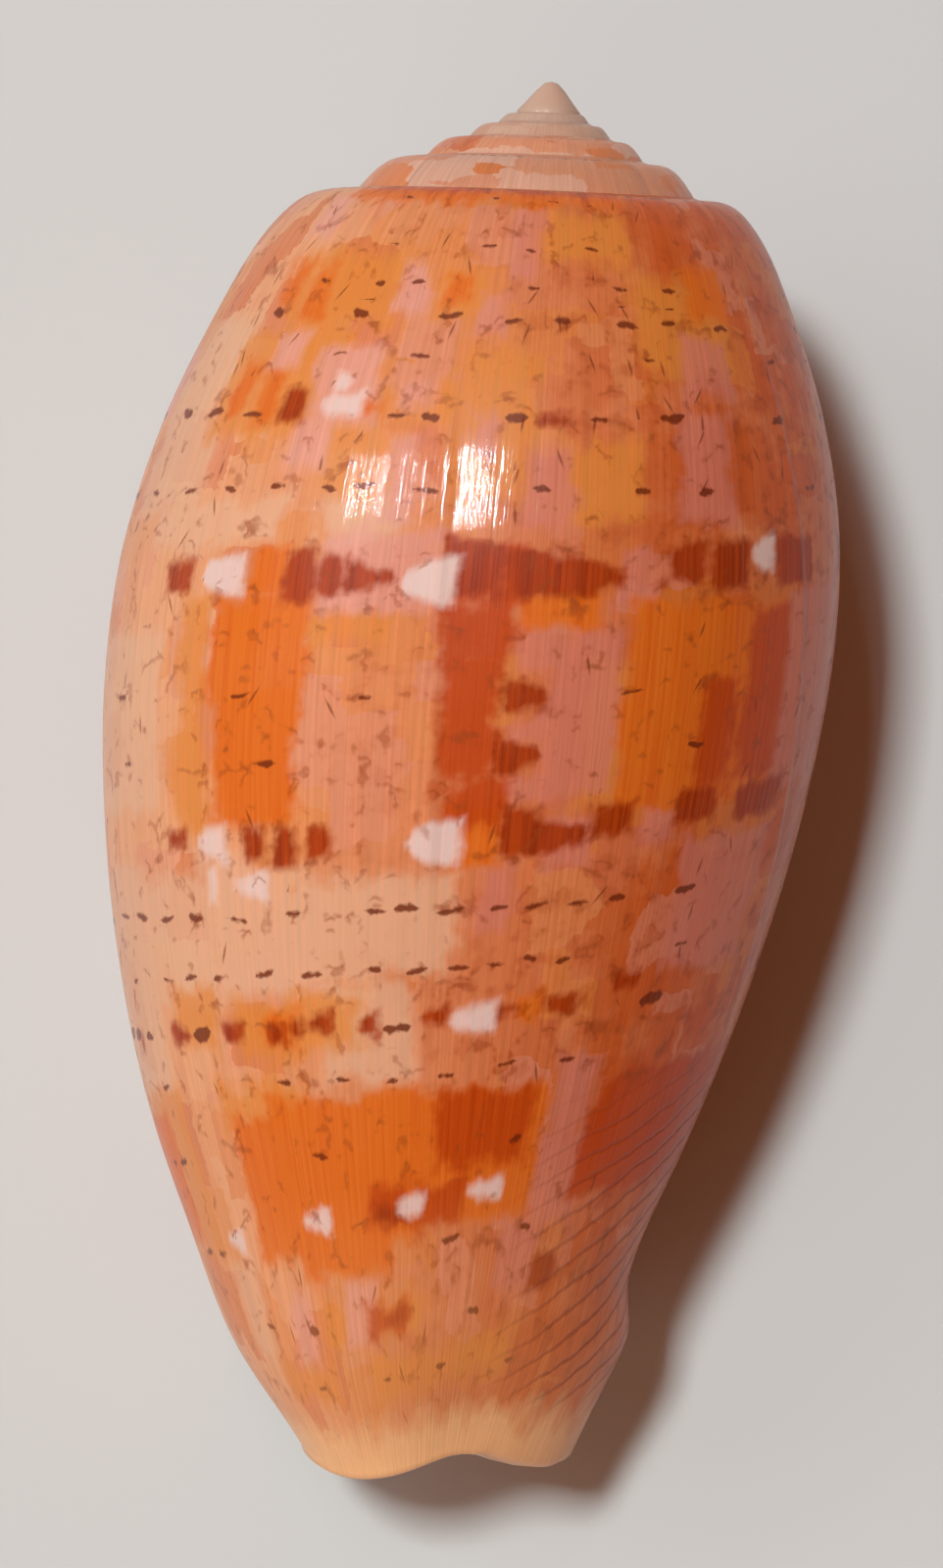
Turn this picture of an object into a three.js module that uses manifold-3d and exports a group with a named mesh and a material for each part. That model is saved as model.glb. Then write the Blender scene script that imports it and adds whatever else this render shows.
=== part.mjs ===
// Inflated cone shell, grown as one piece and lying on its aperture.
// The frame is in millimetres: +Z up, +Y towards the apex, origin under the middle of the shell.
// The wall is a growing spiral: every whorl repeats the one before it, wider and further down the
// axis. The growth angle is zero at the lip and negative for everything that grew before it.

import * as THREE from 'three';
import { mergeVertices } from 'three/addons/utils/BufferGeometryUtils.js';
import Module from 'manifold-3d';

const DEGREE = Math.PI / 180;
const TURN = 2 * Math.PI;
const LENGTH = 60;                  // apex to the end of the base
const BODY_EXPANSION = 1.47;        // how many times the body widens in one turn
const SPIRE_EXPANSION = 1.57;       // the same, near the apex
const SPIRE_DEPTH = 6;              // depth over which the spire's rate fades into the body's
const TIP_LIFT = 0.5;               // how far the first whorls stand above the spire's cone
const TIP_REACH = 1.6;              // distance from the axis over which that fades
// How far the base reaches down at its end, its notch and its heel: size, growth angle and width.
const BASE_LOBES = [[1, -88, 38], [-0.6, -140, 20], [0.8, -198, 30]];
const FOLD = [-225, 42];            // growth angle and width of the raised fold above the heel
const BUD_SIDES = 20;               // sides of the bud of first whorls
// Outline of that bud: distance from the axis, then depth below it.
const BUD = [[0, 0], [0.3, 0.08], [0.62, 0.4], [0.98, 0.85], [1.4, 1.35], [0, 2.4]];

const STEP = 7.5 * DEGREE;          // growth angle between two sections
const BODY_ROWS = 28;               // rows from the suture to the base
const SPIRE_ROWS = 8;               // rows on a whorl of which only the top shows
const SPIRE_SHARE = 0.36;           // share of the outline that those rows cover
const SPIRE_WHORLS = 4;             // whorls before the last one

const OVERLAP = 6 * STEP;           // how far a turn starts under the end of the next one

const WALL = 1.1;                   // thickness of the outer wall
const CALLUS = 0.35;                // glaze that the last whorl lays on the one before it
const CAVITY_ROWS = 12;             // rows down each side of the body cavity
const CAVITY_START = -276 * DEGREE; // where the modelled cavity ends, behind the columella
const CAVITY_TOP = 6.9;             // depth of its upper end at the lip
const CANAL_ANGLE = -150 * DEGREE;  // middle of the stretch where it closes off from the base
const CANAL_FADE = 12 * DEGREE;
const CLOSED_DEPTH = 55.5;          // depth of its lower end behind that stretch
const OPEN_DEPTH = 63;              // the same in front of it, past the end of the base
const PAST_LIP = 37.5 * DEGREE;     // how far the cutting shape runs out past the lip
const PILLAR_TAPER = 0.55;          // how much slimmer the columella is at its end
const PILLAR_TOP = 36;              // depth where that begins

const LIP_AZIMUTH = 50.5 * DEGREE;  // lip edge, from straight down towards the left side
const REST_PITCH = 8 * DEGREE;      // how far the apex is tipped up at rest
const FLAT_DEPTH = 0.15;            // depth of the small worn flats that it lies on

// Outline of the last whorl at the lip: distance from the axis, then depth below the apex.
const OUTLINE = [
  [7.4, 4.7], [8.7, 5.2], [9.8, 5.2], [10.8, 5.6], [12.3, 7.3], [14.15, 11], [16.1, 16],
  [17.5, 22], [17.8, 28], [17.3, 34], [16.2, 40], [14.4, 46], [12.1, 51], [9.6, 55.5], [6.2, 59],
];
const outline = new THREE.CatmullRomCurve3(
  OUTLINE.map(([radius, depth]) => new THREE.Vector3(radius, depth, 0)), false, 'centripetal');

function bell(value, centre, width) {
  return Math.exp(-(((value - centre) / width) ** 2));
}

// A point of the outline, moved along the spiral by a growth angle: [radius, depth].
function grown(along, angle) {
  const { x: radius, y: depth } = outline.getPoint(along);
  const spire = Math.log(SPIRE_EXPANSION) / TURN;
  const body = Math.log(BODY_EXPANSION) / TURN;
  const rate = body + (spire - body) * Math.exp(-depth / SPIRE_DEPTH);
  const base = (depth / LENGTH) ** 6;
  const [end, notch, heel] = BASE_LOBES.map(([size, ...at]) => size * bell(angle / DEGREE, ...at));
  const outward = radius * Math.exp(rate * angle);
  const down = depth * Math.exp(rate * (1 - base) * angle) + base * (end + notch + heel)
    + TIP_LIFT * (1 - Math.exp(-outward / TIP_REACH));
  const fold = bell(angle / DEGREE, ...FOLD)
    * (THREE.MathUtils.smoothstep(down, 50.5, 54) - 0.5 * bell(down, 49.5, 3.2));
  return [outward + fold, down];
}

// Radius of the spiral wall at a depth, found by halving the outline between shoulder and base.
function radiusAt(depth, angle) {
  let low = 0.2;
  let high = 1;
  for (let i = 0; i < 30; i += 1) {
    const middle = (low + high) / 2;
    if (grown(middle, angle)[1] < depth) {
      low = middle;
    } else {
      high = middle;
    }
  }
  return grown(low, angle)[0];
}

// A place on the shell, from its distance from the axis, its depth and its growth angle.
function place([radius, depth], angle) {
  const azimuth = LIP_AZIMUTH - angle;
  return new THREE.Vector3(
    -radius * Math.sin(azimuth), LENGTH / 2 - depth, -radius * Math.cos(azimuth));
}

const wasm = await Module();
wasm.setup();

// The manifold solid of a closed geometry, its shared corners merged and flat slivers dropped.
function solid(geometry) {
  geometry.deleteAttribute('normal');
  geometry.deleteAttribute('uv');
  const merged = mergeVertices(geometry, 1e-5);
  const index = merged.index.array;
  const triVerts = [];
  for (let i = 0; i < index.length; i += 3) {
    const [a, b, c] = index.slice(i, i + 3);
    if (a !== b && b !== c && c !== a) {
      triVerts.push(a, b, c);
    }
  }
  return new wasm.Manifold(new wasm.Mesh({
    numProp: 3,
    vertProperties: new Float32Array(merged.attributes.position.array),
    triVerts: new Uint32Array(triVerts),
  }));
}

function geometryOf(manifold) {
  const mesh = manifold.getMesh();
  const geometry = new THREE.BufferGeometry();
  geometry.setAttribute('position', new THREE.BufferAttribute(mesh.vertProperties, 3));
  geometry.setIndex(new THREE.BufferAttribute(mesh.triVerts, 1));
  return geometry;
}

// Triangles that fill a flat ring of [radius, depth] points, all turning the way the ring does.
function filled(ring) {
  const points = ring.map(([radius, depth]) => new THREE.Vector2(radius, depth));
  const clockwise = THREE.ShapeUtils.isClockWise(points);
  return THREE.ShapeUtils.triangulateShape(points, []).map(([a, b, c]) => {
    const turn = THREE.ShapeUtils.area([points[a], points[b], points[c]]) < 0;
    return turn === clockwise ? [a, b, c] : [a, c, b];
  });
}

// A closed solid through rings of [radius, depth] points, each point at its own growth angle.
function loft(sections) {
  const count = sections[0].ring.length;
  const positions = sections.flatMap(({ ring, angles }) => (
    ring.flatMap((point, j) => place(point, angles[j]).toArray())));
  const faces = [];
  for (let i = 0; i < sections.length - 1; i += 1) {
    for (let j = 0; j < count; j += 1) {
      const a = i * count + j;
      const b = i * count + ((j + 1) % count);
      faces.push(a, b + count, b);
      faces.push(a, a + count, b + count);
    }
  }
  const last = (sections.length - 1) * count;
  for (const [a, b, c] of filled(sections[0].ring)) {
    faces.push(a, b, c);
  }
  for (const [a, b, c] of filled(sections.at(-1).ring)) {
    faces.push(last + a, last + c, last + b);
  }
  const geometry = new THREE.BufferGeometry();
  geometry.setAttribute('position', new THREE.Float32BufferAttribute(positions, 3));
  geometry.setIndex(faces);
  return solid(geometry);
}

// Evenly spaced growth angles, with both ends.
function anglesBetween(start, end) {
  const steps = Math.round((end - start) / STEP);
  return Array.from({ length: steps + 1 }, (_, i) => start + ((end - start) * i) / steps);
}

// How far the lip's edge lies behind the full growth angle: a notch at the suture, and a curve
// round the end of the base.
function lipRetreat(along) {
  return -16 * DEGREE * bell(along, 0, 0.16) - 30 * DEGREE * Math.max(0, (along - 0.84) / 0.16) ** 2;
}

// A filled stretch of whorl, closed along the axis between two fixed depths.
function stretch(start, end, { rows, share, top, foot }) {
  return loft(anglesBetween(start, end).map((angle) => {
    const ring = [[0, top]];
    const angles = [angle];
    for (let j = 0; j <= rows; j += 1) {
      const along = (share * j) / rows;
      const retreat = end === 0 ? lipRetreat(along) * bell(angle, 0, 40 * DEGREE) : 0;
      ring.push(grown(along, angle + retreat));
      angles.push(angle + retreat);
    }
    ring.push([0, foot]);
    angles.push(angle);
    return { ring, angles };
  }));
}

// The last whorl, and the whorls of the spire, each in two half turns.
function whorls() {
  const body = { rows: BODY_ROWS, share: 1, top: 8, foot: 58 };
  const pieces = [
    stretch(-TURN / 2, 0, body),
    stretch(-TURN - OVERLAP, -TURN / 2, body),
  ];
  for (let whorl = 1; whorl <= SPIRE_WHORLS; whorl += 1) {
    for (const half of [0, 1]) {
      const end = -TURN * whorl - (half * TURN) / 2;
      const size = Math.exp((Math.log(SPIRE_EXPANSION) / TURN) * end);
      const spire = { rows: SPIRE_ROWS, share: SPIRE_SHARE, top: 8 * size + TIP_LIFT, foot: 14 };
      pieces.push(stretch(end - TURN / 2 - (half ? OVERLAP : 0), end, spire));
    }
  }
  return pieces;
}

// The bud of the first whorls, on the apex.
function bud() {
  const points = BUD.map(([radius, depth]) => new THREE.Vector2(radius, LENGTH / 2 - depth));
  return solid(new THREE.LatheGeometry(points.reverse(), BUD_SIDES));
}

// The space between the last whorl and the one before it, open at the lip and the canal.
function cavity() {
  return loft(anglesBetween(CAVITY_START, PAST_LIP).map((angle) => {
    const top = CAVITY_TOP * Math.exp((Math.log(SPIRE_EXPANSION) / TURN) * angle);
    const open = 1 / (1 + Math.exp(-(angle - CANAL_ANGLE) / (CANAL_FADE / 2)));
    const bottom = CLOSED_DEPTH + (OPEN_DEPTH - CLOSED_DEPTH) * open;
    const taper = PILLAR_TAPER * (1 - THREE.MathUtils.smoothstep(angle, -PAST_LIP, PAST_LIP));
    const outer = [];
    const inner = [];
    for (let j = 0; j <= CAVITY_ROWS; j += 1) {
      const depth = top + ((bottom - top) * (j / CAVITY_ROWS) ** 1.2);
      const pillar = 1 - taper * THREE.MathUtils.smoothstep(depth, PILLAR_TOP, LENGTH);
      outer.push([radiusAt(depth, Math.min(angle, 0)) - WALL, depth]);
      inner.push([radiusAt(depth, angle - TURN) * pillar + CALLUS, depth]);
    }
    const ring = [...outer, ...inner.reverse()];
    return { ring, angles: ring.map(() => angle) };
  }));
}

// Turns the shell to the way it lies, and sets its origin under the middle of its box.
function settled(manifold) {
  const rest = new THREE.Matrix4().makeRotationX(REST_PITCH);
  const turned = geometryOf(manifold).applyMatrix4(rest);
  turned.computeBoundingBox();
  const { min, max } = turned.boundingBox;
  turned.translate(-(min.x + max.x) / 2, -(min.y + max.y) / 2, -min.z - FLAT_DEPTH);
  const floor = new THREE.BoxGeometry(LENGTH, LENGTH * 2, LENGTH);
  floor.translate(0, 0, -LENGTH / 2);
  return solid(turned).subtract(solid(floor));
}

// The one large body, without the specks that joining leaves where whorls touch.
function wholeOf(manifold) {
  return manifold.decompose().reduce((a, b) => (a.volume() > b.volume() ? a : b));
}

const filledShell = wholeOf([...whorls(), bud()].reduce((whole, piece) => whole.add(piece)));
const shell = new THREE.Mesh(
  geometryOf(settled(wholeOf(filledShell.subtract(cavity())))),
  new THREE.MeshStandardMaterial({ color: 0xd98a62, roughness: 0.25, metalness: 0 }));
shell.name = 'shell';

const part = new THREE.Group();
part.add(shell);

export default part;
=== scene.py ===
import bpy
import numpy as np
from mathutils import Matrix, Vector


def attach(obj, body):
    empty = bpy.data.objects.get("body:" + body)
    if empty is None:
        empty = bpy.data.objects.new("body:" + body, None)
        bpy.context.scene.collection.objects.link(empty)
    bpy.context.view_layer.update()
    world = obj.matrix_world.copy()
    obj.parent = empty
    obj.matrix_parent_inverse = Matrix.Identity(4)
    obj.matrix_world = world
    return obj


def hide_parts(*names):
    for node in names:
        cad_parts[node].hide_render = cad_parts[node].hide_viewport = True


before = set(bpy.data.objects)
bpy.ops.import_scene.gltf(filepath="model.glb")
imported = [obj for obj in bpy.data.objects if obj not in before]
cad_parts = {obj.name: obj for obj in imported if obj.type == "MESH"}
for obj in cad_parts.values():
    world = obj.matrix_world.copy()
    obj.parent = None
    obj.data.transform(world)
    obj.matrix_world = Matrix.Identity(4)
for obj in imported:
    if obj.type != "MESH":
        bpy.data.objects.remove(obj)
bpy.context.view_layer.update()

# ---------------------------------------------------------------- body whorl
# The last turn and a half of the tube of lime that makes the shell, laid down by the animal at the
# edge of the outer lip. It is a thin wall wound on itself, open at the lip and at the base. Sizes
# are in millimetres; growth angles are zero at the lip and negative for all that grew before it.

MM = 0.001
TURN = 2 * np.pi
LENGTH = 60.0
BODY_EXPANSION = 1.47
SPIRE_EXPANSION = 1.57
SPIRE_DEPTH = 6.0
TIP_LIFT = 0.5
TIP_REACH = 1.6
LIP_AZIMUTH = np.radians(50.5)
WALL = 1.1
OUTLINE = np.array([
    (7.4, 4.7), (8.7, 5.2), (9.8, 5.2), (10.8, 5.6), (12.3, 7.3), (14.15, 11.0), (16.1, 16.0),
    (17.5, 22.0), (17.8, 28.0), (17.3, 34.0), (16.2, 40.0), (14.4, 46.0), (12.1, 51.0),
    (9.6, 55.5), (6.2, 59.0)])
OUTLINE_ROWS = 164
INNER_ROWS = 24
BODY_START = -540  # degrees; the turns before this are the spire's
CANAL_START = -152  # degrees; before this the inner face closes on the axis at the base
LINE_BACKS = np.arange(0, 560, 0.4)  # degrees back from the lip at which growth lines have a height


def curve_through(points, count):
    """A smooth curve through points, as count rows of (radius, depth) and the length down to each.

    Each stretch is a cubic that leaves and arrives along the line between its neighbours, with
    knots spaced by the square root of the distance between points; rows are equally far apart.
    """
    ends = np.vstack([2 * points[0] - points[1], points, 2 * points[-1] - points[-2]])
    steps = np.linalg.norm(np.diff(ends, axis=0), axis=1)
    knots = np.concatenate([[0], np.cumsum(steps ** 0.5)])
    t = np.linspace(knots[1], knots[-2], 4000)
    k = np.clip(np.searchsorted(knots, t, side="right") - 1, 1, len(points) - 1)
    p, s = [ends[k + i - 1] for i in range(4)], [knots[k + i - 1] for i in range(4)]

    def between(a, b, low, high):
        share = ((t - low) / (high - low))[:, None]
        return a * (1 - share) + b * share
    first = [between(p[i], p[i + 1], s[i], s[i + 1]) for i in range(3)]
    second = [between(first[i], first[i + 1], s[i], s[i + 2]) for i in range(2)]
    dense = between(second[0], second[1], s[1], s[2])
    along = np.concatenate([[0], np.cumsum(np.linalg.norm(np.diff(dense, axis=0), axis=1))])
    even = np.linspace(0, along[-1], count)
    return np.column_stack([np.interp(even, along, dense[:, i]) for i in range(2)]), even


def bell(value, centre, width):
    """One at the centre, falling to about a third a width away on either side."""
    return np.exp(-(((value - centre) / width) ** 2))


def smooth(value, low, high):
    """Nought below low, one above high, and an S curve between."""
    share = np.clip((value - low) / (high - low), 0, 1)
    return share * share * (3 - 2 * share)


def grown(radius, depth, angle):
    """Radius and depth of the outline after a growth angle.

    Both are multiplied by e to the power rate times angle; the rate is the spire's near the apex and
    the body's below it, and fades to nothing in depth at the base, where the end stays level.
    """
    spire, body = np.log(SPIRE_EXPANSION) / TURN, np.log(BODY_EXPANSION) / TURN
    rate = body + (spire - body) * np.exp(-depth / SPIRE_DEPTH)
    base = (depth / LENGTH) ** 6
    degrees = np.degrees(angle)
    lobes = bell(degrees, -88, 38) - 0.6 * bell(degrees, -140, 20) + 0.8 * bell(degrees, -198, 30)
    outward = radius * np.exp(rate * angle)
    down = depth * np.exp(rate * (1 - base) * angle) + base * lobes
    return outward, down + TIP_LIFT * (1 - np.exp(-outward / TIP_REACH))


def place(radius, depth, angle):
    """Points in the shell's own frame: the axis along Y, and azimuth counted from the lip."""
    azimuth = LIP_AZIMUTH - angle
    return np.stack([-radius * np.sin(azimuth), LENGTH / 2 - depth, -radius * np.cos(azimuth)], -1)


outline, row_down = curve_through(OUTLINE, OUTLINE_ROWS)
row_radius, row_depth = outline.T
wander = np.random.default_rng(11)
line_height = np.interp(LINE_BACKS, np.cumsum(wander.uniform(0.7, 2.6, 400)) - 5,
                        wander.uniform(-1, 1, 400))


def growth_lines(back, down):
    """Height of the growth lines, in mm, from the degrees grown since and the way down the outline.

    Fine uneven lines run from shoulder to base, and at a few places growth paused, which left a
    step: the newer side stands proud by its height and sinks back within a few degrees.
    """
    height = 0.009 * np.interp(back, LINE_BACKS, line_height)
    height *= smooth(down, 3, 9) * (1 - 0.6 * smooth(down, 50, 58))
    for place_back, lean, tall, top, foot in (
            (98.0, 0.35, 0.045, 13, 30), (103.5, 0.25, 0.05, 12, 40), (109.5, 0.1, 0.08, 14, 36),
            (114.5, 0.1, 0.045, 15, 50), (119.0, 0.15, 0.13, 15, 38), (158.0, 0.1, 0.025, 8, 40),
            (186.0, 0.4, 0.100, 8, 50), (62.0, 0.1, 0.03, 10, 50), (231.0, 0.2, 0.06, 8, 50),
            (300.0, 0.2, 0.07, 8, 52), (26.0, 0.1, 0.05, 6, 52)):
        since = place_back + lean * (down - 23) - back
        extent = smooth(down, top - 3, top + 2) * (1 - smooth(down, foot - 2, foot + 4))
        height = height + tall * extent * smooth(since, -0.9, 0.3) * np.exp(-np.maximum(since, 0) / 5)
    return height


def outer_face(angle, radius, depth, down):
    """Radius, depth and angle on the outer face, one line for each growth angle.

    The grown outline, with the lip's edge held back by a notch at the suture and a curve at the
    base, everything older than one turn drawn in at the base to make the columella, a raised
    fold behind the canal, and the growth lines.
    """
    share = down / row_down[-1]
    held = -16 * bell(share, 0, 0.16) - 30 * np.maximum(0, (share - 0.84) / 0.16) ** 2
    angle = angle[:, None] + np.radians(held) * bell(angle[:, None], 0, np.radians(40))
    r, s = grown(radius, depth, angle)
    back = -np.degrees(angle)
    taper = 0.55 * (1 - smooth(-back + 360, -38, 38))
    r = r * (1 - taper * smooth(s, 36, LENGTH))
    fold = bell(back, 225, 42) * (smooth(s, 50.5, 54) - 0.5 * bell(s, 49.5, 3.2))
    return r + fold + growth_lines(back, down), s, angle


def wall(columns, last_row, inner_rows, thickness, closed_from):
    """A closed wall over some growth angles, as points, growth angles, ways down and inner marks.

    Each column is a loop: down the outer face, round the edge, and back up the inner face, which is
    the outer one moved inwards by the thickness along its normal. For the growth angles before
    closed_from, the inner face closes on the axis at the base, as it does behind the canal.
    """
    r, s, a = outer_face(columns, row_radius[:last_row], row_depth[:last_row], row_down[:last_row])
    along_r, along_s = np.gradient(r, axis=1), np.gradient(s, axis=1)
    size = np.hypot(along_r, along_s)
    out_r, out_s = along_s / size, -along_r / size
    outer_in = (thickness.max() - thickness)[:, None] / 2
    inner_in = (thickness.max() + thickness)[:, None] / 2
    outer = np.stack([r - out_r * outer_in, s - out_s * outer_in, a], -1)
    kept = np.linspace(0, last_row - 1, inner_rows).round().astype(int)
    inner = np.stack([r - out_r * inner_in, s - out_s * inner_in, a], -1)[:, kept[::-1]]
    closed = 1 - smooth(np.degrees(columns), closed_from - 6, closed_from + 6)
    inner[..., 0] *= 1 - closed[:, None] * smooth(inner[..., 1], 49.5, 55.5)
    middle, half = (outer[:, -1] + inner[:, 0]) / 2, (outer[:, -1] - inner[:, 0]) / 2
    bulge = np.minimum(np.hypot(half[:, 0], half[:, 1]), 0.5)
    ends = []
    for turned in np.radians([30, 60, 90, 120, 150]):
        point = middle + half * np.cos(turned)
        point[:, 1] += bulge * np.sin(turned)
        ends.append(point)
    loop = np.concatenate([outer, np.stack(ends, 1), inner], axis=1)
    inward = np.zeros(loop.shape[:2])
    inward[:, last_row + 2:] = 1
    down = row_down[:last_row]
    down = np.concatenate([down, np.full(5, down[-1]), down[kept[::-1]]])
    return (place(loop[..., 0], loop[..., 1], loop[..., 2]), loop[..., 2],
            np.broadcast_to(down, loop.shape[:2]), inward)


def wall_faces(columns, loop, outer_rows):
    """Quads between the columns of a wall, and a strip that closes each of its two ends."""
    i, j = np.meshgrid(np.arange(columns - 1), np.arange(loop), indexing="ij")
    a, b = i * loop + j, i * loop + (j + 1) % loop
    quads = np.stack([a, a + loop, b + loop, b], -1).reshape(-1, 4)
    outer = np.arange(outer_rows)
    partner = loop - 1 - (outer * (loop - outer_rows - 1) / (outer_rows - 1)).round().astype(int)
    moved = partner[:-1] != partner[1:]
    strip = np.concatenate([np.stack([outer[:-1], outer[1:], partner[:-1]], -1),
                            np.stack([outer[1:], partner[1:], partner[:-1]], -1)[moved]])
    return quads, np.concatenate([strip, strip[:, ::-1] + (columns - 1) * loop])


def spaced(*stretches):
    """Growth angles in radians through (start, end, step) stretches in degrees."""
    parts = [np.arange(start, end, step) for start, end, step in stretches]
    return np.radians(np.concatenate([*parts, [stretches[-1][1]]]))


body_angles = spaced((BODY_START, -405, 5), (-405, -290, 2.3), (-290, -205, 1.3), (-205, -40, 0.78),
                     (-40, -4, 1.3), (-4, 0, 0.4))
body_degrees = np.degrees(body_angles)
lip_round = np.sqrt(np.maximum(1 - (1 - np.clip(-body_degrees / 2.2, 0, 1)) ** 2, 0.003))
body_thickness = (0.7 + (WALL - 0.7) * smooth(-body_degrees, 2, 16)) * lip_round
body_thickness *= np.maximum(np.clip((body_degrees - BODY_START) / 10, 0, 1), 0.06)
body = wall(body_angles, OUTLINE_ROWS, INNER_ROWS, body_thickness, CANAL_START)
body_faces = wall_faces(*body[0].shape[:2], OUTLINE_ROWS)

# ---------------------------------------------------------------- spire
# The older turns, whose tops show as low steps round the apex. The same tube, smaller each turn;
# only its upper part is made, because the later turns hide the rest.

SPIRE_ROWS = 46
SPIRE_START = -360 * 5.6
NEVER = -9999  # no part of the spire closes on the axis
spire_angles = spaced((SPIRE_START, -440, 5))
spire_degrees = np.degrees(spire_angles)
spire_thickness = 0.9 * np.exp(np.log(SPIRE_EXPANSION) / TURN * (spire_angles + 3))
spire_thickness *= np.clip((spire_degrees - SPIRE_START) / 20, 0.05, 1)
spire = wall(spire_angles, SPIRE_ROWS, 8, spire_thickness, NEVER)
spire_faces = wall_faces(*spire[0].shape[:2], SPIRE_ROWS)

# ---------------------------------------------------------------- apex bud
# The first whorls, worn to a small blunt cone of bare lime at the very tip.

BUD = np.array([(0, 0), (0.3, 0.08), (0.62, 0.4), (0.98, 0.85), (1.4, 1.35), (1.2, 2.0), (0, 2.4)])
bud_turns = np.radians(np.arange(0, 360, 10))[:, None]
rings = len(BUD) - 2
bud_rings = place(BUD[None, 1:-1, 0] + 0 * bud_turns, BUD[None, 1:-1, 1] + 0 * bud_turns,
                  bud_turns + 0 * BUD[None, 1:-1, 1])
bud_points = np.concatenate([bud_rings.reshape(-1, 3), place(np.zeros(2), BUD[[0, -1], 1], np.zeros(2))])
i, j = np.meshgrid(np.arange(len(bud_turns)), np.arange(rings - 1), indexing="ij")
k = (i + 1) % len(bud_turns)
bud_quads = np.stack([i * rings + j, k * rings + j, k * rings + j + 1, i * rings + j + 1], -1)
i = np.arange(len(bud_turns))
k = (i + 1) % len(bud_turns)
top, foot = len(bud_points) - 2 + 0 * i, len(bud_points) - 1 + 0 * i
bud_ends = np.concatenate([np.stack([top, k * rings, i * rings], -1),
                           np.stack([foot, (i + 1) * rings - 1, (k + 1) * rings - 1], -1)])
bud_count = len(bud_points)
bud = (bud_points, np.full(bud_count, -TURN * 5.5), np.zeros(bud_count), np.zeros(bud_count))

# ---------------------------------------------------------------- whole shell
# Body, spire and bud are one natural piece of lime, so they are one mesh. It lies on its mouth with
# the apex tipped up a little, and touches the floor with its belly and its outer lip.

REST_PITCH = np.radians(8.0)
FLAT_DEPTH = 0.15

points, turns, downs, inwards = [
    np.concatenate([part[n].reshape(-1, 3) if n == 0 else part[n].ravel() for part in (body, spire, bud)])
    for n in range(4)]
second_start = body[1].size
third_start = second_start + spire[1].size
faces = [body_faces[0], body_faces[1], spire_faces[0] + second_start, spire_faces[1] + second_start,
         bud_quads.reshape(-1, 4) + third_start, bud_ends + third_start]
tip_up = np.array([[1, 0, 0],
                   [0, np.cos(REST_PITCH), np.sin(REST_PITCH)],
                   [0, -np.sin(REST_PITCH), np.cos(REST_PITCH)]])
points = points @ tip_up
points[:, :2] -= (points[:, :2].max(0) + points[:, :2].min(0)) / 2
points[:, 2] -= points[:, 2].min() + FLAT_DEPTH
points[:, 2] = np.maximum(points[:, 2], 0)

mesh = bpy.data.meshes.new("shell_wall")
mesh.from_pydata(points * MM, [], [face for part in faces for face in part.tolist()])
mesh.polygons.foreach_set("use_smooth", np.ones(len(mesh.polygons), bool))

# ---------------------------------------------------------------- markings
# Pigment laid down with the lime: spiral rows of dashes and blocks, and blotches between them that
# end on growth lines. Patches are (first degree, last degree, top, foot), the degrees counted back
# from the lip and the heights in mm down the outline from the suture.

DEGREE = 0.28  # mm of surface to a degree of growth, at the widest part
LAST_MARKED = 385  # degrees back from the lip where the later turns begin to hide the older ones
FAR_OUTSIDE = -4.0
NO_DASH = -0.3
back = -np.degrees(turns)
chance = np.random.default_rng(5)


def unseen(top, foot, widths, gaps):
    """Patches of chance widths and gaps on the stretches that the listed ones leave free."""
    patches = []
    for start, end in ((2, 44), (206, 372)):
        while start < end:
            width = chance.uniform(*widths)
            lift = chance.uniform(-0.3, 0.3)
            patches.append((start, start + width, top + lift, foot + lift))
            start += width + chance.uniform(*gaps)
    return patches


def patches_at(patches):
    """How far inside the nearest patch each point lies, in mm; less than nought is outside."""
    inside = np.full(back.shape, FAR_OUTSIDE)
    for first, last, top, foot in patches:
        across = np.minimum(back - first, last - back) * DEGREE
        inside = np.maximum(inside, np.minimum(across, np.minimum(downs - top, foot - downs)))
    return inside


def tents_at(tents):
    """The same for tents, which open evenly from their point to their full height at the far end."""
    inside = np.full(back.shape, FAR_OUTSIDE)
    for point, end, middle, height in tents:
        share = (back - point) / (end - point)
        across = np.minimum(1 - share, 2 * share + 0.1) * abs(end - point) * DEGREE
        half = height / 2 * np.maximum(share, 0) ** 0.35
        inside = np.maximum(inside, np.minimum(across, half - np.abs(downs - middle)))
    return inside


pale = patches_at([
    (60, 100, 36.2, 42.0), (96, 125, 36.6, 41.4), (101, 119, 41.0, 45.8), (52, 62, 44.6, 49.0),
    (98, 112, 17.2, 21.2), (62, 92, 19.4, 21.6), (52, 74, 10.5, 20.0), (66, 76, 53.0, 57.0),
    (36, 64, 36.0, 51.0), (42, 70, 25.5, 33.4), (79, 92, 35.4, 39.6),
    *unseen(37, 41, (10, 30), (10, 40))])
amber = patches_at([
    (74, 81, 23.8, 34.6), (76, 104, 7.2, 11.0), (97, 111, 15.8, 19.4), (104, 118, 13.8, 15.8),
    (70, 97, 11.0, 16.6), (110, 122, 7.6, 10.6), (70, 80, 41.5, 44.0), (78, 98, 45.6, 47.5),
    (126, 150, 4.8, 7.4), (150, 172, 8.0, 13.0), (118, 132, 12.0, 19.5), (136, 150, 16.5, 20.5),
    (96, 122, 54.6, 56.2), (108, 150, 56.8, 58.6), (84, 112, 24.4, 26.0), (85, 110, 41.8, 44.4),
    (76, 96, 57.0, 58.4), (143, 150, 27.0, 33.6),
    *unseen(7.5, 11, (6, 20), (8, 30)), *unseen(24, 34, (6, 16), (14, 40)),
    *unseen(46, 53, (12, 30), (12, 30))])
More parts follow.
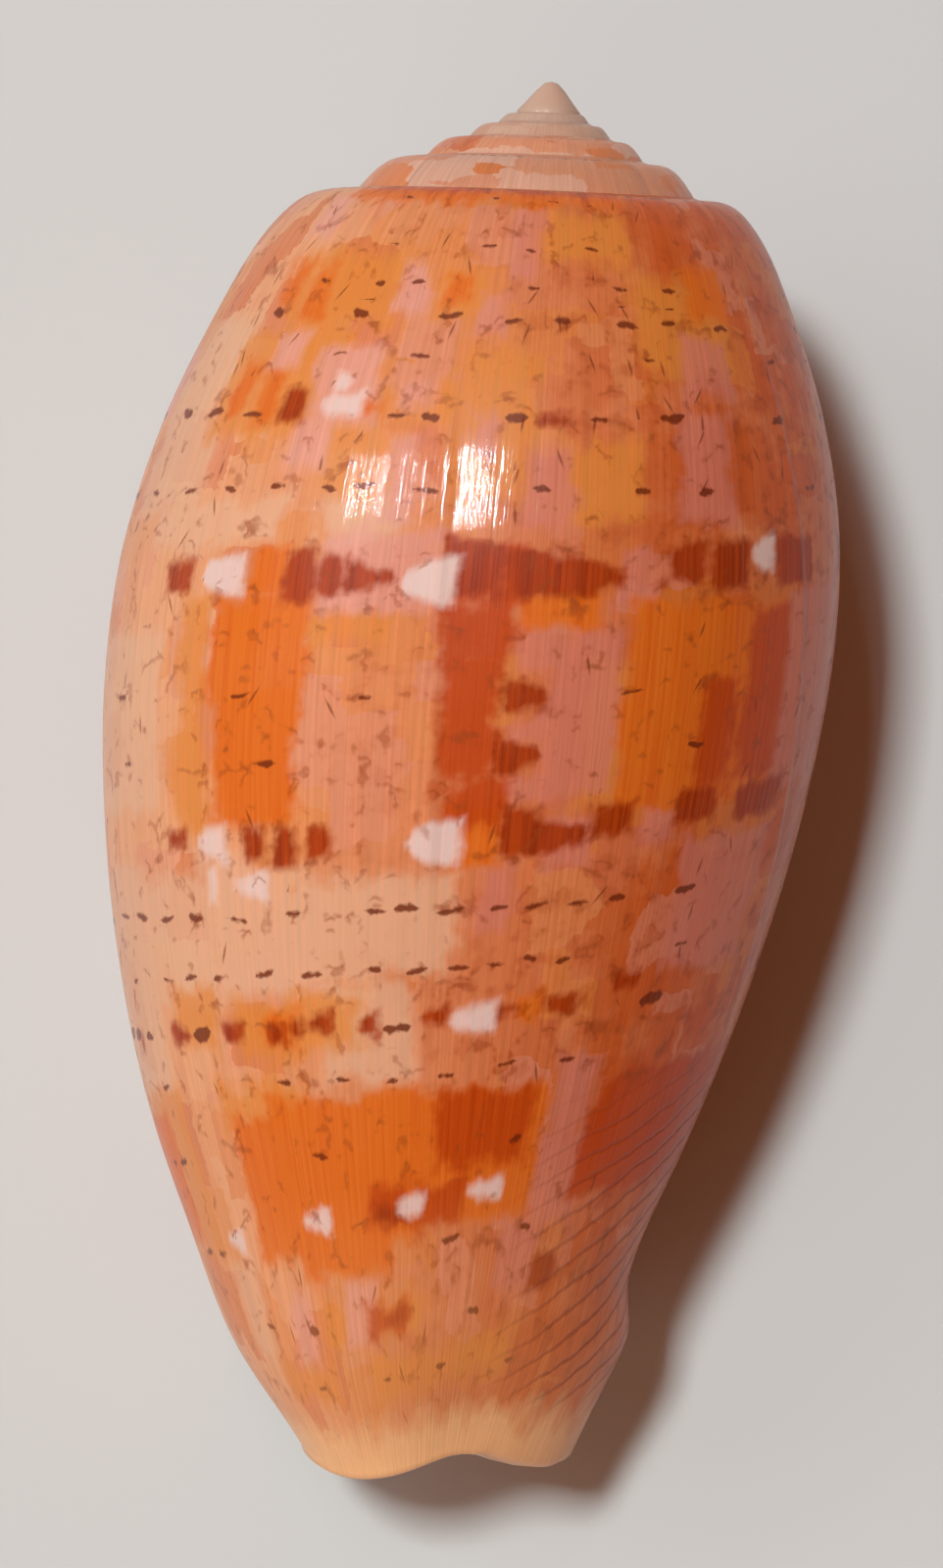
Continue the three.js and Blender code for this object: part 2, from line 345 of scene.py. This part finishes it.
orange = patches_at([
    (81, 99, 23.8, 29.0), (83, 98, 28.0, 34.3), (87, 95, 21.4, 24.0), (76, 152, 2.4, 4.0),
    (75, 80, 7.6, 10.0), (82, 87, 7.8, 10.4), (74, 78, 12.8, 15.4), (80, 85, 13.4, 15.8),
    (123, 131, 33.6, 36.4), (80, 96, 46.8, 53.0), (90, 120, 46.2, 52.4), (118, 146, 46.4, 52.2),
    (92, 114, 51.0, 53.6), (91, 97, 42.4, 43.8), (149, 181, 24.2, 34.2), (112, 118, 7.9, 9.8),
    (162, 173, 7.4, 10.2), (131, 143, 23.6, 25.2), (100, 106, 14.6, 15.6), (136, 141, 42.4, 43.8),
    *unseen(24.5, 33.5, (8, 16), (16, 40)), *unseen(47, 52.5, (10, 24), (14, 34))])
burnt = patches_at([
    (119.5, 130.5, 24.0, 27.0), (120.5, 130, 26.5, 32.5), (122, 131, 32.0, 34.6),
    (121, 132, 21.4, 24.2), (156, 200, 46.4, 51.6), (123, 143, 46.4, 49.9), (110, 118, 50.2, 51.8),
    (120, 130, 50.4, 52.4), (108, 118, 54.9, 56.1), (84, 150, 2.3, 3.2),
    (172, 182, 24.6, 33.0), (163, 171, 28.0, 33.6),
    *unseen(25, 33, (4, 9), (20, 50)), *unseen(47, 51, (5, 12), (24, 50))])
block = np.maximum(patches_at([
    (69, 75, 22.4, 23.7), (94, 99, 21.7, 24.1), (100, 104, 22.0, 23.8), (120, 128, 21.4, 23.9),
    (129, 136, 21.7, 23.8), (154, 162, 21.3, 23.4), (163, 171, 21.5, 23.7), (178, 190, 21.3, 23.7),
    (72, 77, 34.2, 35.3), (89, 93.5, 34.1, 36.0), (94.5, 98.5, 34.2, 36.0), (101, 105, 34.3, 35.6),
    (131, 137, 33.7, 35.9), (146, 153, 33.7, 35.3), (161, 169, 33.3, 34.9), (174, 187, 33.4, 35.2),
    (92, 95.5, 43.0, 43.8), (81.5, 86, 42.9, 43.7), (154.5, 160, 41.9, 42.8), (133, 138, 42.8, 43.5),
    (142, 147, 42.7, 43.3), (86, 91.5, 14.1, 15.9), (111, 117, 51.0, 51.7), (150, 157.5, 53.8, 55.2),
    (112.5, 117.5, 55.2, 55.7), (50.5, 53.5, 43.2, 44.3), (132, 137, 15.1, 15.6),
    *unseen(21.6, 23.8, (4, 14), (5, 18)), *unseen(33.8, 35.7, (4, 12), (4, 16)),
    *unseen(42.6, 43.7, (2, 6), (4, 14)), *unseen(14.6, 15.6, (2, 5), (6, 20))]),
    tents_at([
        (148, 134, 22.9, 2.2), (136.5, 129, 28.5, 2.2), (136, 129, 31.4, 1.7), (112, 104, 23.0, 1.6),
        (145, 136, 35.2, 1.2), (108, 112.5, 43.2, 1.1), (100, 104.5, 43.1, 1.1), (120, 125, 43.0, 1.2),
        (73, 67, 43.4, 0.8), (99.5, 96.5, 43.2, 0.8)]))
mauve = patches_at([
    (91, 104, 12.1, 15.8), (90, 97, 15.6, 17.8), (160, 170, 11.2, 14.0), (157, 168, 15.2, 20.4),
    (121, 126, 15.2, 17.4), (119, 124, 9.0, 11.0), (108, 113, 16.4, 20.5), (147, 155, 45.6, 49.6),
    (102, 110, 53.8, 56.2), (72, 80, 3.6, 6.4), (80, 86, 11.6, 13.2), (102, 109, 7.6, 10.2),
    (164, 186, 35.6, 42.0), (128, 134, 36.4, 39.4), (140, 150, 52.6, 55.0),
    (124, 130, 4.6, 8.4), (130, 138, 16.8, 20.8), (84, 92, 54.2, 57.0), (107, 113, 13.6, 15.0),
    (136, 148, 25.6, 33.2), (131, 138, 25.2, 27.4), (131, 138, 29.6, 30.6), (131, 140, 32.3, 33.5),
    (146, 152, 21.4, 24.4), (139, 146, 34.4, 36.6), (154, 160, 32.8, 35.6), (100, 118, 21.0, 24.6),
    (182, 204, 24.0, 34.0), (145, 158, 48.6, 52.6),
    *unseen(25, 32, (6, 14), (20, 40)), *unseen(12, 16, (5, 12), (18, 40)),
    *unseen(37, 42, (6, 14), (20, 44))])
white = np.maximum(tents_at([
    (78, 87, 22.9, 2.2), (113, 121, 23.2, 2.2), (172, 177, 22.1, 1.7), (80, 85.5, 34.9, 1.7),
    (117, 125, 35.2, 2.2), (125, 133, 43.3, 1.4), (93.5, 102, 14.9, 1.4), (68.5, 75, 52.1, 1.0),
    (93.5, 100.5, 51.4, 1.0), (115.5, 122, 51.1, 0.9), (131.5, 138.5, 50.9, 0.9),
    (99, 95.5, 13.8, 1.0), (87, 93, 36.8, 1.2),
    (22, 32, 22.9, 2.4), (30, 38, 35.0, 2.0), (226, 236, 22.9, 2.4), (262, 272, 35.0, 2.2),
    (290, 300, 22.8, 2.4), (318, 326, 43.0, 1.6), (340, 350, 35.0, 2.2)]),
    patches_at([(80, 84.5, 35.6, 38.0)]) - 0.45)

# Dashes lie on rows of their own, so each point keeps its height off the nearest row, and half the
# thickness of a dash there: the edge between the two stays sharp on any grid.
DASH_ROWS = (
    (3.9, 0.08, (132, 141, 118, 96)), (6.7, 0.10, (98, 119, 128, 141)),
    (8.8, 0.12, (85, 98, 106, 129, 147, 158)), (10.5, 0.19, (96, 114, 126, 135, 148, 157, 170, 76)),
    (12.3, 0.12, (95, 110, 152, 184)), (15.3, 0.20, (60, 80, 108, 114, 128, 142, 156, 182, 70)),
    (18.9, 0.16, (46, 58, 70, 80, 90, 99, 105, 115, 133, 150, 162, 191)),
    (28.4, 0.12, (57, 88, 109, 150)), (31.3, 0.12, (60, 93, 163)),
    (38.2, 0.17, (54, 62, 70, 78, 87, 98, 112, 117, 124, 132, 138, 145, 152, 166)),
    (40.9, 0.12, (55, 68, 75, 82, 92, 101, 112, 119, 126, 132, 138, 144, 168)),
    (43.3, 0.26, (50, 57, 76, 116, 164)),
    (45.6, 0.11, (60, 94, 106, 115, 125, 136, 148)),
    (48.8, 0.14, (52, 58, 100, 140)), (52.8, 0.16, (56, 64, 128, 146)), (55.6, 0.15, (77, 92, 136)),
    (57.8, 0.12, (90, 112, 128, 150)))
row_heights = np.array([row[0] for row in DASH_ROWS])
nearest = np.abs(downs[:, None] - row_heights).argmin(1)
off_row = downs - row_heights[nearest]
dash = np.full(back.shape, NO_DASH)
for n, (height, half, middles) in enumerate(DASH_ROWS):
    on_row = nearest == n
    spread = [start for start, *_ in unseen(0, 1, (4, 5), (3, 9))]
    for middle in [*middles, *spread]:
        length = chance.uniform(0.15, 0.4) + 1.6 * half
        lean = chance.uniform(-0.2, 0.2)
        away = (back[on_row] - middle) * DEGREE
        near = np.abs(away) < length * 1.2
        bend = chance.uniform(-0.15, 0.15) + chance.uniform(-0.2, 0.2) * away
        bend += chance.uniform(-0.3, 0.3) * away ** 2
        off_row[on_row] += np.where(near, bend, 0)
        thick = half * chance.uniform(0.7, 1.25) * (1.1 - (away / length) ** 4 + lean * away)
        dash[on_row] = np.maximum(dash[on_row], np.maximum(thick, NO_DASH))

dash[np.abs(off_row) > 0.75] = NO_DASH  # no dash where the nearest row changes

marked = (inwards < 0.5) & (back < LAST_MARKED)
patterns = {"pale": pale, "amber": amber, "orange": orange, "burnt": burnt, "block": block,
            "mauve": mauve, "white": white}
values_of = {name: np.where(marked, inside, FAR_OUTSIDE) for name, inside in patterns.items()}
values_of.update({"dash": np.where(marked, dash, NO_DASH), "off_row": off_row, "back": back,
                  "down": downs, "inward": inwards})
for name, values in values_of.items():
    mesh.attributes.new(name, "FLOAT", "POINT").data.foreach_set("value", values.astype(np.float32))
surface_mm = mesh.uv_layers.new(name="surface_mm")
corner_points = np.empty(len(mesh.loops), np.int32)
mesh.loops.foreach_get("vertex_index", corner_points)
surface_mm.data.foreach_set("uv", np.column_stack([back * DEGREE, downs])[corner_points].ravel())
mesh.update()

shell = bpy.data.objects.new("shell_body", mesh)
bpy.context.scene.collection.objects.link(shell)

# ---------------------------------------------------------------- glazed lime
# Porcelain-like aragonite, polished by the animal's mantle: a hard clear gloss over dense lime that
# lets a little light in, broken along the growth lines by fine scratches and steps.


def linear(colour):
    """An sRGB hex colour as linear red, green, blue and a full alpha."""
    part = np.array([int(colour[n:n + 2], 16) for n in (1, 3, 5)]) / 255
    part = np.where(part <= 0.04045, part / 12.92, ((part + 0.055) / 1.055) ** 2.4)
    return (*part.tolist(), 1)


def add(tree, kind, inputs, **settings):
    """Adds a node with its settings, and sets or links each of its inputs."""
    node = tree.nodes.new("ShaderNode" + kind)
    for name, value in settings.items():
        setattr(node, name, value)
    for name, value in inputs.items():
        if isinstance(value, bpy.types.NodeSocket):
            tree.links.new(value, node.inputs[name])
        else:
            node.inputs[name].default_value = value
    return node


def mixed(tree, share, under, over):
    """The colour under with a share of the colour over laid on it."""
    return add(tree, "Mix", {0: share, 6: under, 7: over}, data_type="RGBA").outputs[2]


material = bpy.data.materials.new("glazed_shell_lime")
material.use_nodes = True
tree = material.node_tree
finish = tree.nodes["Principled BSDF"]
position = add(tree, "UVMap", {}, uv_map="surface_mm").outputs["UV"]
marks = {name: add(tree, "Attribute", {}, attribute_name=name).outputs["Fac"] for name in values_of}

# Noises on the surface in mm: streaks run down along the growth lines, clouds are as wide as tall.
noises = {}
for name, across, along, detail in (
        ("streak", 1.6, 0.05, 4), ("hair", 5.0, 0.10, 3), ("cloud", 0.35, 0.30, 3),
        ("grain", 2.2, 2.0, 4), ("break", 0.9, 0.8, 2), ("wide_streak", 0.55, 0.02, 3)):
    scaled = add(tree, "Mapping", {"Vector": position, "Scale": (across, along, 1)})
    noises[name] = add(tree, "TexNoise", {"Vector": scaled.outputs[0], "Scale": 1.0, "Detail": detail,
                                          "Roughness": 0.55}).outputs["Fac"]
jag = add(tree, "Math", {0: noises["streak"], 1: 1.5, 2: -0.75}, operation="MULTIPLY_ADD").outputs[0]
jag = add(tree, "Math", {0: noises["grain"], 1: 0.9, 2: jag}, operation="MULTIPLY_ADD").outputs[0]
jag = add(tree, "Math", {0: jag, 1: 0.45}, operation="SUBTRACT").outputs[0]

# The ground is peach near the lip and salmon further back, in blocky patches a few mm across; the
# darkening further back, on the side turned from the window, is partly the shell's tone and partly
# painted shade.
warped = add(tree, "VectorMath", {0: position, 1: add(tree, "CombineXYZ", {
    0: noises["grain"], 1: noises["break"]}).outputs[0]}, operation="ADD")
cells = add(tree, "Mapping", {"Vector": warped.outputs[0], "Scale": (0.34, 0.30, 1)})
cells = add(tree, "TexVoronoi", {"Vector": cells.outputs[0], "Scale": 1.0, "Randomness": 0.85},
            distance="CHEBYCHEV")
chances = add(tree, "SeparateColor", {"Color": cells.outputs["Color"]})
# This share grows further back: partly the shell's older tone, partly painted shade on the side away from
# the light.
older_and_shaded = add(tree, "MapRange", {"Value": marks["back"], "From Min": 75.0, "From Max": 160.0})
colour = mixed(tree, older_and_shaded.outputs[0], linear("#E4A074"), linear("#C95820"))
for source, low, high, amount, tone in (
        (chances.outputs[0], 0.70, 0.74, 0.45, "#DC8E74"),
        (chances.outputs[1], 0.72, 0.76, 0.45, "#DC8236"),
        (chances.outputs[2], 0.80, 0.84, 0.60, "#CF6B3C"), (noises["cloud"], 0.50, 0.72, 0.55, "#E08A5C"),
        (noises["wide_streak"], 0.45, 0.75, 0.25, "#D97B4A")):
    share = add(tree, "MapRange", {"Value": source, "From Min": low, "From Max": high, "To Max": amount})
    colour = mixed(tree, share.outputs[0], colour, linear(tone))

# The darker mottle grows with the same share further back, so it too is partly painted shade.
mottle = add(tree, "MapRange", {"Value": noises["break"], "From Min": 0.48, "From Max": 0.62,
                                "To Max": 0.45})
mottle = add(tree, "Math", {0: mottle.outputs[0], 1: older_and_shaded.outputs[0]}, operation="MULTIPLY")
colour = mixed(tree, mottle.outputs[0], colour, linear("#B24A1C"))

swell = add(tree, "Math", {0: noises["cloud"], 1: 3.2, 2: -1.6}, operation="MULTIPLY_ADD").outputs[0]
swell = add(tree, "Math", {0: noises["break"], 1: 1.8, 2: swell}, operation="MULTIPLY_ADD").outputs[0]
swell = add(tree, "Math", {0: swell, 1: 0.9}, operation="SUBTRACT").outputs[0]

# Blotches and blocks: each layer's edge is moved by the streaks, which makes it jagged above and
# below and straight along the growth lines.
# The mauve turns to its darker tone with the same share further back, partly painted shade.
for name, soft, moved, swollen, amount, tone, streaked, varied_by in (
        ("pale", 0.60, 0.6, 0.8, 0.70, "#E3B494", "#DFA884", noises["hair"]),
        ("amber", 0.60, 0.8, 0.7, 0.80, "#DF8A3C", "#DC8034", noises["hair"]),
        ("mauve", 0.45, 0.5, 0.6, 0.75, "#DF9A8A", "#D27A66", older_and_shaded.outputs[0]),
        ("orange", 0.42, 0.45, 0.6, 0.95, "#E87620", "#D05C10", noises["hair"]),
        ("burnt", 0.44, 0.45, 0.6, 0.92, "#CC4A0C", "#AE3A04", noises["hair"]),
        ("block", 0.30, 0.40, 0.40, 0.95, "#BA4004", "#882600", noises["hair"]),
        ("white", 0.32, 0.4, 0.25, 0.92, "#E8CCC4", "#E2BEB4", noises["hair"])):
    edge = add(tree, "Math", {0: jag, 1: moved, 2: marks[name]}, operation="MULTIPLY_ADD")
    edge = add(tree, "Math", {0: swell, 1: swollen, 2: edge.outputs[0]}, operation="MULTIPLY_ADD")
    share = add(tree, "MapRange", {"Value": edge.outputs[0], "From Min": -soft, "From Max": soft,
                                   "To Max": amount}, interpolation_type="SMOOTHSTEP")
    varied = add(tree, "MapRange", {"Value": varied_by, "From Min": 0.35, "From Max": 0.65})
    varied = mixed(tree, varied.outputs[0], linear(tone), linear(streaked))
    colour = mixed(tree, share.outputs[0], colour, varied)

# Broken hairlines, one or two tenths of a mm wide as on a real shell, that edge hidden tents.
for across, along, width, low in ((0.42, 0.50, 0.04, 0.55), (0.26, 0.33, 0.028, 0.53)):
    mesh_lines = add(tree, "Mapping", {"Vector": warped.outputs[0], "Scale": (across, along, 1)})
    mesh_lines = add(tree, "TexVoronoi", {"Vector": mesh_lines.outputs[0], "Scale": 1.0},
                     feature="DISTANCE_TO_EDGE")
    line = add(tree, "MapRange", {"Value": mesh_lines.outputs["Distance"], "From Min": width * 0.5,
                                  "From Max": width * 1.5, "To Min": 1.0, "To Max": 0.0})
    kept = add(tree, "MapRange", {"Value": noises["break"], "From Min": low, "From Max": low + 0.08,
                                  "To Max": 0.42})
    line = add(tree, "Math", {0: line.outputs[0], 1: kept.outputs[0]}, operation="MULTIPLY")
    colour = mixed(tree, line.outputs[0], colour, linear("#9A431A"))

# Short strokes along the growth lines, one to a cell, thickest below the shoulder.
stroke_cells = add(tree, "Mapping", {"Vector": position, "Scale": (0.55, 0.42, 1)})
stroke_cells = add(tree, "TexVoronoi", {"Vector": stroke_cells.outputs[0], "Scale": 1.0})
middle = add(tree, "Mapping", {"Vector": stroke_cells.outputs["Position"],
                               "Scale": (1 / 0.55, 1 / 0.42, 1)})
away = add(tree, "VectorMath", {0: position, 1: middle.outputs[0]}, operation="SUBTRACT")
away = add(tree, "SeparateXYZ", {"Vector": away.outputs[0]})
stroke_chance = add(tree, "SeparateColor", {"Color": stroke_cells.outputs["Color"]})
slant = add(tree, "Math", {0: stroke_chance.outputs[1], 1: 1.6, 2: -0.8}, operation="MULTIPLY_ADD")
sideways = add(tree, "Math", {0: away.outputs[1], 1: slant.outputs[0], 2: away.outputs[0]},
               operation="MULTIPLY_ADD")
sideways = add(tree, "Math", {0: sideways.outputs[0], 1: 0.0}, operation="ABSOLUTE")
lengthways = add(tree, "Math", {0: away.outputs[1], 1: 0.0}, operation="ABSOLUTE")
thin = add(tree, "MapRange", {"Value": lengthways.outputs[0], "From Min": 0.15, "From Max": 0.75,
                              "To Min": 0.07, "To Max": -0.05})
stroke = add(tree, "Math", {0: thin.outputs[0], 1: sideways.outputs[0]}, operation="SUBTRACT")
stroke = add(tree, "MapRange", {"Value": stroke.outputs[0], "From Min": -0.03, "From Max": 0.05})
upper = add(tree, "MapRange", {"Value": marks["down"], "From Min": 12.0, "From Max": 24.0,
                               "To Min": 0.66, "To Max": 0.90})
some = add(tree, "Math", {0: stroke_chance.outputs[0], 1: upper.outputs[0]}, operation="GREATER_THAN")
stroke = add(tree, "Math", {0: stroke.outputs[0], 1: some.outputs[0]}, operation="MULTIPLY")
on_body = add(tree, "MapRange", {"Value": marks["back"], "From Min": 360.0, "From Max": 380.0,
                                 "To Min": 0.75, "To Max": 0.2})
stroke = add(tree, "Math", {0: stroke.outputs[0], 1: on_body.outputs[0]}, operation="MULTIPLY")
colour = mixed(tree, stroke.outputs[0], colour, linear("#7A3212"))

# The dashes of the spiral rows.
height = add(tree, "Math", {0: marks["off_row"], 1: 0.0}, operation="ABSOLUTE")
dashed = add(tree, "Math", {0: marks["dash"], 1: height.outputs[0]}, operation="SUBTRACT")
dashed = add(tree, "Math", {0: noises["grain"], 1: 0.5, 2: dashed.outputs[0]}, operation="MULTIPLY_ADD")
dashed = add(tree, "MapRange", {"Value": dashed.outputs[0], "From Min": 0.22, "From Max": 0.34,
                                "To Max": 0.9})
colour = mixed(tree, dashed.outputs[0], colour, linear("#74290A"))

# The spire is chequered in orange and pinkish cream, with a thin broken brown line on each edge.
spire_cells = add(tree, "Mapping", {"Vector": warped.outputs[0], "Scale": (0.14, 0.45, 1)})
spire_cells = add(tree, "TexVoronoi", {"Vector": spire_cells.outputs[0], "Scale": 1.0},
                  distance="CHEBYCHEV")
chequer = add(tree, "SeparateColor", {"Color": spire_cells.outputs["Color"]})
on_spire = add(tree, "MapRange", {"Value": marks["back"], "From Min": 352.0, "From Max": 372.0})
for source, low, tone in ((chequer.outputs[0], 0.0, "#DE9C7A"), (chequer.outputs[1], 0.60, "#DA7C44"),
                          (chequer.outputs[2], 0.66, "#E0AE96")):
    share = add(tree, "MapRange", {"Value": source, "From Min": low, "From Max": low + 0.04,
                                   "To Max": 0.75})
    share = add(tree, "Math", {0: share.outputs[0], 1: on_spire.outputs[0]}, operation="MULTIPLY")
    colour = mixed(tree, share.outputs[0], colour, linear(tone))
for middle_line, half, low, amount in ((2.75, 0.16, 0.50, 0.75), (0.35, 0.20, 0.54, 0.55)):
    off_edge = add(tree, "Math", {0: marks["down"], 1: middle_line}, operation="SUBTRACT")
    off_edge = add(tree, "Math", {0: noises["grain"], 1: 0.5, 2: off_edge.outputs[0]},
                   operation="MULTIPLY_ADD")
    off_edge = add(tree, "Math", {0: off_edge.outputs[0], 1: 0.25}, operation="SUBTRACT")
    off_edge = add(tree, "Math", {0: off_edge.outputs[0], 1: 0.0}, operation="ABSOLUTE")
    line = add(tree, "MapRange", {"Value": off_edge.outputs[0], "From Min": half * 0.5,
                                  "From Max": half, "To Min": amount, "To Max": 0.0})
    kept = add(tree, "MapRange", {"Value": noises["break"], "From Min": low, "From Max": low + 0.06})
    line = add(tree, "Math", {0: line.outputs[0], 1: kept.outputs[0]}, operation="MULTIPLY")
    colour = mixed(tree, line.outputs[0], colour, linear("#8A3E1A"))

# The base and the old whorls of the apex are bare cream lime, and so is the inside; towards the
# base the ground is painted paler before the bare edge, as painted light falling on the base.
base_edge = add(tree, "Math", {0: jag, 1: 0.3, 2: marks["down"]}, operation="MULTIPLY_ADD").outputs[0]
base_edge = add(tree, "Math", {0: swell, 1: 0.9, 2: base_edge}, operation="MULTIPLY_ADD").outputs[0]
for source, low, high, amount, tone in (
        # First entry: painted light, a paler band on the ground above the bare edge.
        (marks["down"], 50.0, 59.0, 0.30, "#E8A068"), (base_edge, 59.2, 60.6, 0.85, "#F0B884"),
        (marks["back"], 900.0, 1300.0, 0.90, "#C9A692"),
        (marks["inward"], 0.3, 0.9, 1.0, "#EBD6C6")):
    share = add(tree, "MapRange", {"Value": source, "From Min": low, "From Max": high, "To Max": amount})
    colour = mixed(tree, share.outputs[0], colour, linear(tone))

# Narrow slanting grooves, 1.1 mm apart, are cut round the base, deepest behind the canal; their
# dark colour is painted shade in the grooves.
along_turn = add(tree, "Math", {0: noises["cloud"], 1: 0.8, 2: marks["down"]}, operation="MULTIPLY_ADD")
along_turn = add(tree, "Math", {0: marks["back"], 1: 0.085, 2: along_turn.outputs[0]},
                 operation="MULTIPLY_ADD")
along_turn = add(tree, "Math", {0: along_turn.outputs[0], 1: TURN / 1.1}, operation="MULTIPLY")
wave = add(tree, "Math", {0: along_turn.outputs[0]}, operation="SINE")
cut = add(tree, "MapRange", {"Value": wave.outputs[0], "From Min": 0.72, "From Max": 1.0},
          interpolation_type="SMOOTHSTEP")
for source, low, high in ((marks["down"], 46.0, 50.0), (marks["down"], 60.0, 58.5),
                          (marks["back"], 140.0, 178.0), (marks["back"], 330.0, 300.0)):
    part = add(tree, "MapRange", {"Value": source, "From Min": low, "From Max": high})
    cut = add(tree, "Math", {0: cut.outputs[0], 1: part.outputs[0]}, operation="MULTIPLY")
# Painted shade: the grooves are darkened in the colour, as if shade fell in them.
painted_groove_shade = add(tree, "Math", {0: cut.outputs[0], 1: 0.60}, operation="MULTIPLY")
colour = mixed(tree, painted_groove_shade.outputs[0], colour, linear("#7E2C12"))

# Fine growth striae change the tone a little, and the bump breaks the gloss into threads.
tone = add(tree, "MapRange", {"Value": noises["hair"], "From Min": 0.3, "From Max": 0.7,
                              "To Min": 0.86, "To Max": 1.06})
tone = add(tree, "VectorMath", {0: colour, "Scale": tone.outputs[0]}, operation="SCALE")
tree.links.new(tone.outputs[0], finish.inputs["Base Color"])
relief = add(tree, "Math", {0: cut.outputs[0], 1: -1.6, 2: noises["hair"]}, operation="MULTIPLY_ADD")
relief = add(tree, "Math", {0: noises["streak"], 1: 0.5, 2: relief.outputs[0]}, operation="MULTIPLY_ADD")
relief = add(tree, "Math", {0: noises["grain"], 1: 0.12, 2: relief.outputs[0]}, operation="MULTIPLY_ADD")
bump = add(tree, "Bump", {"Height": relief.outputs[0], "Distance": 0.021 * MM, "Strength": 1.0})
tree.links.new(bump.outputs[0], finish.inputs["Normal"])
tree.links.new(bump.outputs[0], finish.inputs["Coat Normal"])
for name, value in (("Roughness", 0.45), ("IOR", 1.5), ("Specular IOR Level", 0.08),
                    ("Coat Weight", 0.38), ("Coat Roughness", 0.06), ("Coat IOR", 1.38),
                    ("Subsurface Weight", 0.12), ("Subsurface Radius", (1.0, 0.45, 0.25)),
                    ("Subsurface Scale", 1.2 * MM)):
    finish.inputs[name].default_value = value

mesh.materials.append(material)
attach(shell, "root")
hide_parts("shell")

# ---------------------------------------------------------------- floor
# A sheet of plain matt card, pale warm grey.

REACH = 2.0  # metres from the shell to each edge
floor_mesh = bpy.data.meshes.new("floor")
floor_mesh.from_pydata([(-REACH, -REACH, 0), (REACH, -REACH, 0), (REACH, REACH, 0), (-REACH, REACH, 0)],
                       [], [(0, 1, 2, 3)])
floor = bpy.data.objects.new("floor", floor_mesh)
bpy.context.scene.collection.objects.link(floor)
card = bpy.data.materials.new("matt_card")
card.use_nodes = True
card_finish = card.node_tree.nodes["Principled BSDF"]
card_finish.inputs["Base Color"].default_value = linear("#CACAC9")
card_finish.inputs["Roughness"].default_value = 0.9
floor_mesh.materials.append(card)

# ---------------------------------------------------------------- light
# A dim warm room and a bright window overhead on the left, softened by the pale wall beside it and
# by a little light from the front. The pane and the gap between curtains show only in the gloss.

world = bpy.data.worlds.new("room")
world.use_nodes = True
world.node_tree.nodes["Background"].inputs["Color"].default_value = (1.0, 0.36, 0.17, 1)
world.node_tree.nodes["Background"].inputs["Strength"].default_value = 0.19
bpy.context.scene.world = world
bpy.context.scene.view_settings.view_transform = "Standard"


def lamp(name, towards, distance, size, power, colour, in_gloss=True, in_diffuse=True):
    """An area lamp of a size in metres that looks at the shell from a direction, upright along Y.

    It may be left out of the glints on the gloss, or give nothing but those.
    """
    data = bpy.data.lights.new(name, "AREA")
    data.shape = "RECTANGLE"
    data.size, data.size_y = size
    data.energy = power
    data.color = colour
    away = Vector(towards).normalized()
    lamp_object = bpy.data.objects.new(name, data)
    across = Vector((0, 1, 0)).cross(away).normalized()
    lamp_object.matrix_world = Matrix.Translation(away * distance + Vector((0, 0, 0.014))) @ Matrix(
        (across, away.cross(across), away)).transposed().to_4x4()
    lamp_object.visible_glossy = in_gloss
    lamp_object.visible_diffuse = in_diffuse
    bpy.context.scene.collection.objects.link(lamp_object)


lamp("window", (-0.255, 0.17, 0.95), 2.4, (0.32, 0.40), 49, (0.89, 0.985, 1), in_gloss=False)
lamp("wall", (-0.80, 0.15, 0.58), 0.8, (0.5, 0.5), 1.0, (0.95, 0.98, 1))
lamp("fill", (-0.55, -0.75, 0.38), 0.8, (0.4, 0.4), 1.0, (1, 0.86, 0.72), in_gloss=False)
lamp("pane", (-0.15, 0.30, 0.94), 0.6, (0.014, 0.12), 5.2, (1, 1, 1), in_diffuse=False)
lamp("gap", (-0.65, 0.305, 0.71), 0.6, (0.006, 0.09), 1.9, (1, 1, 1), in_diffuse=False)

# ---------------------------------------------------------------- camera
# Almost straight above the shell, turned a few degrees.

CAMERA_DISTANCE = 0.26
VIEW_HEIGHT = 66.861 * MM  # of what the picture takes in, at the shell
SENSOR = 36
camera_data = bpy.data.cameras.new("camera")
camera_data.sensor_fit = "AUTO"
camera_data.sensor_width = SENSOR
camera_data.lens = SENSOR * CAMERA_DISTANCE / VIEW_HEIGHT
camera_data.clip_start, camera_data.clip_end = 0.01, 10
camera = bpy.data.objects.new("camera", camera_data)
elevation, roll = np.radians(85.5), np.radians(4.76)
behind = Vector((0, -np.cos(elevation), np.sin(elevation)))
right, up = Vector((1, 0, 0)), Vector((0, np.sin(elevation), np.cos(elevation)))
turned_right = right * np.cos(roll) + up * np.sin(roll)
turned_up = up * np.cos(roll) - right * np.sin(roll)
aim = Vector((0.57, -0.19, 14.5)) * MM
camera.matrix_world = Matrix.Translation(aim + behind * CAMERA_DISTANCE) @ Matrix(
    (turned_right, turned_up, behind)).transposed().to_4x4()
bpy.context.scene.collection.objects.link(camera)
bpy.context.scene.camera = camera
